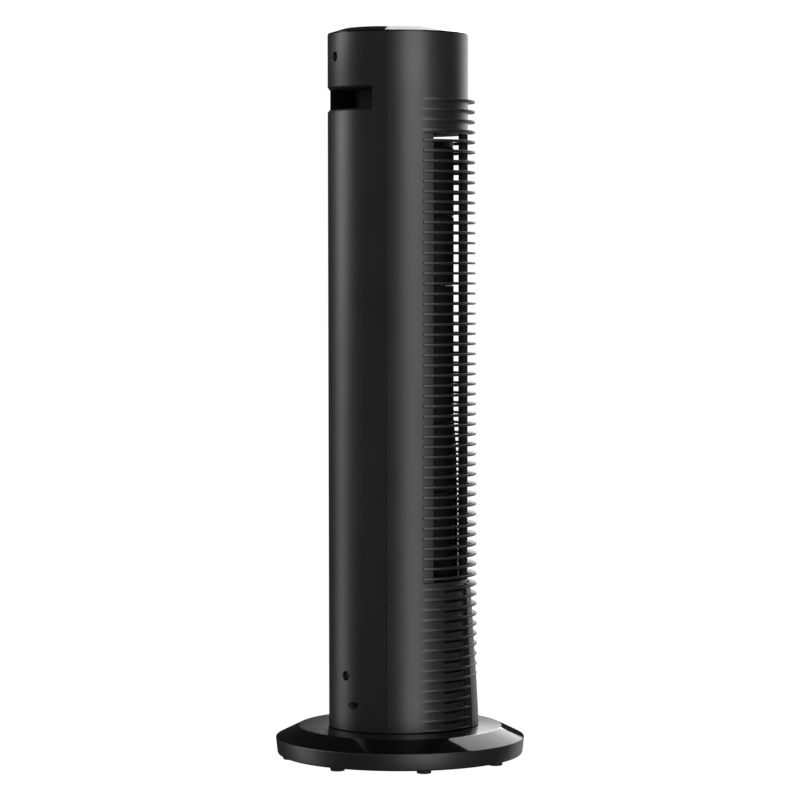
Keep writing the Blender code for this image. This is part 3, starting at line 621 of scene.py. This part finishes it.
def build_rear_shell():
    """Back shell with the grip window, two screw wells and the oval cord hole."""
    inner = rear_radius - shell_wall
    bm = bmesh.new()
    sweep_rear(bm, section(bm, [
        (rear_radius - 0.0004, shell_low), (rear_radius, shell_low + 0.0004),
        (rear_radius, shell_high - rim_round), (rear_radius - rim_step, shell_high - rim_step),
        (rear_radius - rim_round, shell_high), (inner, shell_high), (inner, shell_low),
    ], 180 - rear_arc_half, rear_centre))
    outward(bm)
    for spot, normal in (((grip_half, 0, 0), (1, 0, 0)), ((-grip_half, 0, 0), (1, 0, 0)),
                         ((0, 0, grip_low), (0, 0, 1)), ((0, 0, grip_high), (0, 0, 1))):
        split(bm, spot, normal)
    open_window(bm, lambda spot: grip_low < spot.z < grip_high and abs(spot.x) < grip_half)
    for vert in bm.verts:
        vert.co.y = lean(vert.co.y, vert.co.z)
    outward(bm)
    lip = []
    for edge in bm.edges:
        at_mouth = all(grip_low - tenth < vert.co.z < grip_high + tenth
                       and abs(vert.co.x) < grip_half + tenth for vert in edge.verts)
        spot = edge.verts[0].co
        outside = spot.y > surface_y(spot) - shell_wall / 2
        if edge.calc_face_angle(0) > 1.2 and at_mouth and outside:
            lip.append(edge)
    round_off(bm, lip, lip_round, 2)
    shell = mesh_object("rear_shell", bm, [satin_abs])
    for phi, height in (upper_well, lower_well):
        tool = drum(well_radius, 40, tool_depth)
        pointing(tool, tool.verts, phi, rear_surface(phi, height), height)
        cut(shell, tool)
    tool = drum(cord_hole_half, 48, tool_depth)
    flatten(tool.verts, 0.5)
    pointing(tool, tool.verts, cord_hole[0], rear_surface(*cord_hole), cord_hole[1])
    cut(shell, tool)
    settle(shell, "tower", "black_satin", "rear_housing")


def flatten(verts, share):
    """Flattens a round shape to the cord hole's pointed oval."""
    for vert in verts:
        across = min(abs(vert.co.x) / cord_hole_half, 1)
        vert.co.y *= share * (1 - 0.35 * across**2)


def build_wells():
    """A cup and a cross-head screw in each well, and the rubber gland in the cord hole."""
    for name, node_name, (phi, height) in (("upper_well_screw", "upper_screw", upper_well),
                                           ("lower_well_screw", "lower_screw", lower_well)):
        reach = rear_surface(phi, height)
        side, outer = well_radius + 0.0001, well_radius + well_wall
        bm = bmesh.new()
        grown = ring(bm, [
            (0.0, -well_depth), (side, -well_depth), (side, -well_wall), (outer, -well_wall),
            (outer, -well_depth - well_wall), (0.0, -well_depth - well_wall),
        ], 40)
        pointing(bm, grown, phi, reach, height)
        # The cup's darker finish is painted shade of the well.
        cup = mesh_object(name + "_cup", bm, [recess_shade_abs])
        settle(cup, "tower", "black_matte")
        bm = bmesh.new()
        ring(bm, [
            (0.0, -0.0016), (0.0020, -0.0017), (0.0032, -0.0021), (screw_radius, -0.0027),
            (screw_radius, -0.0033), (0.0030, -well_depth + 0.0001), (0.0, -well_depth + 0.0001),
        ], 32)
        screw = mesh_object(name, bm, [black_screw])
        for size in ((screw_radius, cross_width), (cross_width, screw_radius)):
            tool = bmesh.new()
            bmesh.ops.create_cube(tool, size=1.0)
            bmesh.ops.scale(tool, vec=(*size, cross_depth), verts=tool.verts)
            bmesh.ops.translate(tool, vec=(0, 0, -0.0018), verts=tool.verts)
            cut(screw, tool)
        bm = bmesh.new()
        bm.from_mesh(screw.data)
        pointing(bm, bm.verts, phi, reach, height)
        bm.to_mesh(screw.data)
        bm.free()
        settle(screw, "tower", "steel", node_name)
    phi, height = cord_hole
    bm = bmesh.new()
    grown = ring(bm, [(0.0078, -0.0008), (0.0074, -0.0004), (0.0062, -0.0010), (0.0050, -0.0042),
                      (0.0, -0.0046), (0.0, -0.0070), (0.0078, -0.0070)], 48)
    flatten(grown, 0.49)
    pointing(bm, grown, phi, rear_surface(phi, height), height)
    gland = mesh_object("cord_gland_plug", bm, [matte_abs])
    settle(gland, "tower", "black_rubber", "cord_gland")


def build_grip():
    """Inside of the grip recess: an open box with rounded inner corners."""
    bm = bmesh.new()
    bmesh.ops.create_cube(bm, size=1.0)
    half = grip_half + grip_margin
    low = Vector((-half, grip_floor_y, grip_low - grip_margin))
    high = Vector((half, grip_outer_y, grip_high + grip_margin))
    bmesh.ops.scale(bm, vec=high - low, verts=bm.verts)
    bmesh.ops.translate(bm, vec=(low + high) / 2, verts=bm.verts)
    mouth = [face for face in bm.faces if face.calc_center_median().y > grip_outer_y - tenth]
    bmesh.ops.delete(bm, geom=mouth, context="FACES")
    round_off(bm, [edge for edge in bm.edges if not edge.is_boundary], grip_corner, 4)
    bmesh.ops.subdivide_edges(bm, edges=[edge for edge in bm.edges if edge.calc_length() > 0.01],
                              cuts=14, use_grid_fill=True)
    for vert in bm.verts:
        if vert.co.y > grip_outer_y - tenth:
            vert.co.y = surface_y(vert.co) - 0.0012
    bmesh.ops.recalc_face_normals(bm, faces=bm.faces)
    bmesh.ops.reverse_faces(bm, faces=bm.faces)
    # The recess's darker finish is painted shade of the grip hollow.
    recess = mesh_object("grip_recess", bm, [recess_shade_abs])
    wall = recess.modifiers.new("Wall", "SOLIDIFY")
    wall.thickness, wall.offset = grip_wall, -1.0
    settle(recess, "tower", "black_matte", "handle_cup")


def build_lower_panel():
    """Smooth flared panel below the outlet."""
    bm = bmesh.new()
    loop = section(bm, [(reach, height) for height, reach in panel_levels] + [
        (panel_root, panel_levels[-1][0]), (panel_root, panel_levels[0][0])], -panel_edge_phi)
    cap(bm, loop)
    cap(bm, sweep(bm, loop, [(2 * panel_edge_phi, 40)]))
    for vert in bm.verts:
        reach = vert.co.xy.length
        vert.co.xy *= flare(phi_of(vert.co), reach) / reach
    panel = mesh_object("flared_lower_panel", bm, [satin_abs])
    settle(panel, "tower", "black_satin", "lower_front_panel")


def cap_outline(bm, height, inset):
    """The tower's plan outline at a height, drawn in by an inset, as a closed row of verts."""
    row = section(bm, [(tower_radius - inset, height)], -seam_phi, closed=False)
    walk(bm, row, 2 * seam_phi, 72)
    turn = math.radians(rear_arc_half)
    flank = rear_flank * 0.93
    x, y = (rear_radius - inset) * math.sin(turn), (rear_radius - inset) * math.cos(turn)
    corner = Vector((x + flank * math.cos(turn), y + rear_centre - flank * math.sin(turn), height))
    row.append(bm.verts.new(corner))
    row.append(bm.verts.new((x, y + rear_centre, height)))
    leaning = len(row) - 1
    walk(bm, row, 2 * rear_arc_half, 30, rear_centre)
    row.append(bm.verts.new((-corner.x, corner.y, height)))
    for vert in row[leaning:]:
        vert.co.y = lean(vert.co.y, vert.co.z)
    return row


def build_cap():
    """Polished cap: a lip on the shells' rim, a long bevel, and the recess of the controls."""
    top = cad_box[1].z
    bm = bmesh.new()
    row = cap_outline(bm, cap_low, cap_inset)
    for edge in bm.edges[:]:
        bm.edges.remove(edge)
    edges = [bm.edges.new(pair) for pair in zip(row, row[1:] + row[:1])]
    centre = Vector((0, cap_centre_y, 0))
    origin = [vert.co.copy() for vert in row]
    # The outline at each height, as a share of the first, then the round recess.
    for height, size in ((0.7055, 1.0), (0.70555, 1.034), (0.7060, 1.036), (0.7063, 1.030),
                         (0.7104, 0.83), (0.7109, 0.80), (top, 0.765)):
        edges, row = grow_row(bm, edges, row)
        for vert, start in zip(row, origin):
            vert.co = centre + (start - centre) * size
            vert.co.z = height
    for height, radius in ((top, panel_well_radius + 0.0005), (top - 0.0004, panel_well_radius),
                           (0.7074, panel_well_radius), (0.7073, 0.0390)):
        edges, row = grow_row(bm, edges, row)
        for vert in row:
            vert.co = (vert.co.xy.normalized() * radius).to_3d()
            vert.co.z = height
    crown = mesh_object("polished_cap", bm, [gloss_abs], 9.0)
    wall = crown.modifiers.new("Wall", "SOLIDIFY")
    wall.thickness, wall.offset = cap_wall, -1.0
    settle(crown, "tower", "black_gloss", "top_cap")


def build_controls():
    """Round control panel with its four push buttons and their indicator dots."""
    low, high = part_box("control_panel")[0].z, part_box("control_panel")[1].z
    bm = bmesh.new()
    ring(bm, [(0.0, high), (0.0420, high), (0.0426, high - 0.0003), (0.0430, high - 0.0010),
              (0.0430, low), (0.0, low)], 96)
    panel = mesh_object("control_disc", bm, [gloss_abs])
    centres = {}
    for name in ("power", "speed", "swing", "timer"):
        lowest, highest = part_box("button_" + name)
        centres[name] = (lowest + highest) / 2
        tool = drum(button_hole_radius, 48, button_hole_depth)
        bmesh.ops.translate(tool, vec=(*centres[name].xy, high), verts=tool.verts)
        cut(panel, tool)
    settle(panel, "tower", "black_gloss", "control_panel")
    bm = bmesh.new()
    for centre in centres.values():
        ring(bm, [(0.0, high + 0.00035), (0.0004, high + 0.00035), (0.0007, high + 0.0001),
                  (0.0007, high - 0.0002), (0.0, high - 0.0002)],
             20, centre.y + dot_offset, centre.x)
    dots = mesh_object("indicator_dots", bm, [white_acetal])
    settle(dots, "tower", "white_acetal")
    for name, centre in centres.items():
        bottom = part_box("button_" + name)[0].z
        bm = bmesh.new()
        ring(bm, [(0.0, high + 0.0008), (0.0030, high + 0.0009), (0.0042, high + 0.0012),
                  (0.0047, high + 0.0010), (0.0050, high + 0.0005), (0.0050, high - 0.0022),
                  (0.0061, high - 0.0024), (0.0061, high - 0.0033), (0.0020, high - 0.0033),
                  (0.0020, bottom), (0.0, bottom)], 40, centre.y, centre.x)
        button = mesh_object(name + "_push_button", bm, [matte_abs])
        settle(button, "push_" + name, "black_matte", "button_" + name)


# ---------------------------------------------------------------- wheel and air duct


def build_wheel():
    """Six cages of curved blades between discs, and the end disc with its pin."""
    for index in range(segment_count):
        low = wheel_low + index * segment_pitch
        bm = bmesh.new()
        line = []
        for reach, phi in blade_curve:
            turn = math.radians(phi)
            line.append(bm.verts.new((reach * math.sin(turn), -reach * math.cos(turn),
                                      low + 0.0010)))
        edges = [bm.edges.new(pair) for pair in zip(line, line[1:])]
        grown = bmesh.ops.extrude_edge_only(bm, edges=edges)["geom"]
        bmesh.ops.translate(bm, vec=(0, 0, segment_pitch - segment_gap), verts=verts_of(grown))
        bmesh.ops.solidify(bm, geom=bm.faces[:], thickness=blade_thickness)
        bmesh.ops.spin(bm, geom=everything(bm), cent=(0, 0, 0), axis=(0, 0, 1), dvec=(0, 0, 0),
                       angle=math.tau * (blade_count - 1) / blade_count, steps=blade_count - 1,
                       use_duplicate=True)
        ring(bm, [(0.0, low + 0.0020), (wheel_radius - disc_edge, low + 0.0020),
                  (wheel_radius, low + 0.0015), (wheel_radius, low + 0.0005),
                  (wheel_radius - disc_edge, low), (0.0, low)], 72)
        bmesh.ops.translate(bm, vec=(0, wheel_y, 0), verts=bm.verts)
        # The wheel's near-black finish is partly its own black and partly painted shade of the
        # duct.
        cage = mesh_object(f"blade_cage_{index + 1}", bm, [wheel_shade_plastic])
        settle(cage, "wheel", "black_wheel", f"impeller_segment_{index + 1}")
    low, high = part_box("impeller_end_disc")[0].z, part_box("impeller_end_disc")[1].z
    bm = bmesh.new()
    ring(bm, [(0.0, high), (0.0025, high), (0.0030, high - 0.0005), (0.0030, low + 0.0060),
              (0.0075, low + 0.0052), (0.0150, low + 0.0052), (0.0180, low + 0.0078),
              (wheel_radius - 2 * disc_edge, low + 0.0078), (wheel_radius, low + 0.0066),
              (wheel_radius, low + disc_edge), (wheel_radius - disc_edge, low), (0.0, low)],
         72, wheel_y)
    disc = mesh_object("wheel_end_disc", bm, [wheel_shade_plastic])
    settle(disc, "wheel", "black_wheel", "impeller_end_disc")


def build_outlet_walls():
    """The two short upright walls inside the grille that line the outlet."""
    low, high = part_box("outlet_wall_left")[0].z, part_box("outlet_wall_left")[1].z
    for name, side in (("left", -1), ("right", 1)):
        bm = bmesh.new()
        edge = lining_outer - 0.0002
        loop = section(bm, [
            (lining_inner, low), (edge, low), (lining_outer, low + lining_round),
            (lining_outer, high - lining_round), (edge, high), (lining_inner, high),
        ], side * lining_phi)
        cap(bm, loop)
        cap(bm, sweep(bm, loop, [(side * lining_width, 8)]))
        # The lining's darker finish is painted shade inside the outlet.
        wall = mesh_object(f"{name}_outlet_lining", bm, [recess_shade_abs])
        settle(wall, "tower", "black_matte", f"outlet_wall_{name}")


def build_deflector():
    """Thin sheet with a slanted edge that stands inside the outlet."""
    low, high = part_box("outlet_deflector")[0].z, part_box("outlet_deflector")[1].z
    outer, inner = deflector_radius, deflector_radius - deflector_wall
    bm = bmesh.new()
    loop = section(bm, [(outer, low), (outer, high), (inner, high), (inner, low)])
    cap(bm, loop)
    cap(bm, sweep(bm, loop, [(deflector_far_phi, 24)]))
    for share, _ in deflector_slant[1:-1]:
        split(bm, (0, 0, low + (high - low) * share), (0, 0, 1))
    for vert in bm.verts:
        share = min(max((vert.co.z - low) / (high - low), 0), 1)
        for (below, start), (above, end) in zip(deflector_slant, deflector_slant[1:]):
            if below - tenth <= share <= above + tenth:
                edge = start + (end - start) * (share - below) / (above - below)
        phi, reach = phi_of(vert.co), vert.co.xy.length
        turn = math.radians(edge + (deflector_far_phi - edge) * phi / deflector_far_phi)
        vert.co.x, vert.co.y = reach * math.sin(turn), -reach * math.cos(turn)
    sheet = mesh_object("slanted_deflector", bm, [matte_abs])
    settle(sheet, "tower", "black_matte", "outlet_deflector")


# ---------------------------------------------------------------- base


def build_base():
    """Two half shells with a satin rim, a polished bevel and a deck, on rubber feet."""
    rim_low, deck_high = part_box("base_front")[0].z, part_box("base_front")[1].z
    deck_low = deck_high - deck_wall
    outer = [
        (0.0230, deck_high), (0.0990, deck_high), (0.0998, deck_high - 0.0001),
        (0.1005, deck_high - 0.0004), (base_radius - 0.0012, 0.0206),
        (base_radius - 0.0004, 0.0201), (base_radius, 0.0194),
        (base_radius - 0.0016, rim_low + 0.0016), (base_radius - 0.0022, rim_low + 0.0006),
        (base_radius - 0.0032, rim_low),
    ]
    inner = [
        (0.1025, rim_low), (0.1025, rim_low + 0.0025), (base_radius - 0.0058, rim_low + 0.0025),
        (base_radius - 0.0028, 0.0190), (0.0990, deck_low), (0.0230, deck_low),
    ]
    for name, start in (("front", -90.0), ("rear", 90.0)):
        bm = bmesh.new()
        loop = section(bm, outer + inner, start + base_turn + parting_half)
        cap(bm, loop)
        cap(bm, sweep(bm, loop, [(180.0 - 2 * parting_half, 96)]))
        outward(bm)
        for face in bm.faces:
            spot = face.calc_center_median()
            if face.normal.z > 0.2 and spot.z > 0.0200:
                face.material_index = 1 if spot.xy.length > deck_radius else 2
        half = mesh_object(f"base_{name}_half", bm, [satin_abs, gloss_abs, deck_abs], 25.0)
        settle(half, "base", "black_satin", f"base_{name}")
    for index in range(1, 9):
        low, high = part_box(f"foot_{index}")
        spot = (low + high) / 2
        bm = bmesh.new()
        ring(bm, [(0.0, high.z), (foot_radius, high.z), (foot_radius, 0.0008), (0.0067, 0.0002),
                  (0.0062, 0.0), (0.0, 0.0)], 32, spot.y, spot.x)
        foot = mesh_object(f"rubber_foot_{index}", bm, [black_rubber])
        settle(foot, "base", "black_rubber", f"foot_{index}")


# ---------------------------------------------------------------- studio and camera

# Lamps: name, bearing from +X, distance, width, lowest and highest point, radiance.
soft_boxes = (
    ("front_right_upper", 174.0, 2.6, 1.8, 0.8, 2.8, 4.9),
    ("front_right_middle", 174.0, 2.6, 1.8, 0.0, 0.8, 2.2),
    ("front_right_below", 174.0, 2.6, 1.5, -1.8, 0.0, 3.4),
    ("left_upper", 50.0, 2.2, 1.0, 0.8, 2.8, 4.2),
    ("left_lower", 50.0, 2.2, 1.0, -1.4, 0.8, 2.0),
    ("right_back", -63.5, 2.2, 1.47, 0.5, 2.8, 2.2),
    ("right_low", -63.5, 2.2, 1.47, -1.2, 0.5, 0.8),
    ("back", -36.2, 2.2, 0.68, 0.5, 1.6, 4.0),
    ("back_upper", -36.2, 2.2, 0.68, 1.6, 2.6, 2.2),
)
paper_white = 1.05
room_light = 0.025
floor_radius = 12.0
camera_lens = 139.94
camera_bearing, camera_distance = math.radians(150.0), 3.0418
camera_height, camera_pitch = 0.4815, math.radians(2.475)


def toward_axis(turn, pitch=0.0):
    """Direction from a plan bearing back to the fan's axis, dipped by a pitch."""
    level = math.cos(pitch)
    return Vector((-math.cos(turn) * level, -math.sin(turn) * level, -math.sin(pitch)))


def soft_box(name, bearing, distance, width, low, high, radiance):
    """An upright soft box that faces the fan's axis; it lights but isn't seen."""
    turn = math.radians(bearing)
    lamp = bpy.data.lights.new(name, "AREA")
    lamp.shape, lamp.size, lamp.size_y = "RECTANGLE", width, high - low
    lamp.energy = radiance * math.pi * width * (high - low)
    made = bpy.data.objects.new(name, lamp)
    made.rotation_mode = "QUATERNION"
    made.location = (distance * math.cos(turn), distance * math.sin(turn), (low + high) / 2)
    made.rotation_quaternion = toward_axis(turn).to_track_quat("-Z", "Y")
    made.visible_camera = False
    bpy.context.scene.collection.objects.link(made)


def build_studio():
    """White paper to the camera, a dim room to the fan, and the lamps."""
    scene = bpy.context.scene
    scene.view_settings.view_transform = "Standard"
    world = bpy.data.worlds.new("studio")
    scene.world = world
    world.use_nodes = True
    tree = world.node_tree
    tree.nodes.clear()
    seen = node(tree, "ShaderNodeLightPath").outputs["Is Camera Ray"]
    white = node(tree, "ShaderNodeBackground", Color=(1, 1, 1, 1), Strength=paper_white)
    dim = node(tree, "ShaderNodeBackground", Color=(1, 1, 1, 1), Strength=room_light)
    both = node(tree, "ShaderNodeMixShader", i0=seen, i1=dim.outputs[0], i2=white.outputs[0])
    node(tree, "ShaderNodeOutputWorld", Surface=both.outputs[0])

    bm = bmesh.new()
    bmesh.ops.create_circle(bm, cap_ends=True, segments=64, radius=floor_radius)
    paper = bpy.data.materials.new("white_paper_sweep")
    paper.use_nodes = True
    tree = paper.node_tree
    tree.nodes.clear()
    seen = node(tree, "ShaderNodeLightPath").outputs["Is Camera Ray"]
    glow = node(tree, "ShaderNodeEmission", Color=(1, 1, 1, 1), Strength=paper_white)
    clear = node(tree, "ShaderNodeBsdfTransparent", Color=(1, 1, 1, 1))
    both = node(tree, "ShaderNodeMixShader", i0=seen, i1=clear.outputs[0], i2=glow.outputs[0])
    node(tree, "ShaderNodeOutputMaterial", Surface=both.outputs[0])
    mesh_object("paper_floor", bm, [paper])

    for lamp in soft_boxes:
        soft_box(*lamp)


def place_camera():
    lens = bpy.data.cameras.new("camera")
    lens.lens = camera_lens
    lens.clip_end = 100
    camera = bpy.data.objects.new("camera", lens)
    camera.location = (camera_distance * math.cos(camera_bearing),
                       camera_distance * math.sin(camera_bearing), camera_height)
    towards = toward_axis(camera_bearing, camera_pitch)
    camera.rotation_mode = "QUATERNION"
    camera.rotation_quaternion = towards.to_track_quat("-Z", "Y")
    bpy.context.scene.collection.objects.link(camera)
    bpy.context.scene.camera = camera


finish_cad_nodes()
build_front_shell()
build_grille()
build_rear_shell()
build_wells()
build_grip()
build_lower_panel()
build_cap()
build_controls()
build_wheel()
build_outlet_walls()
build_deflector()
build_base()
build_studio()
place_camera()
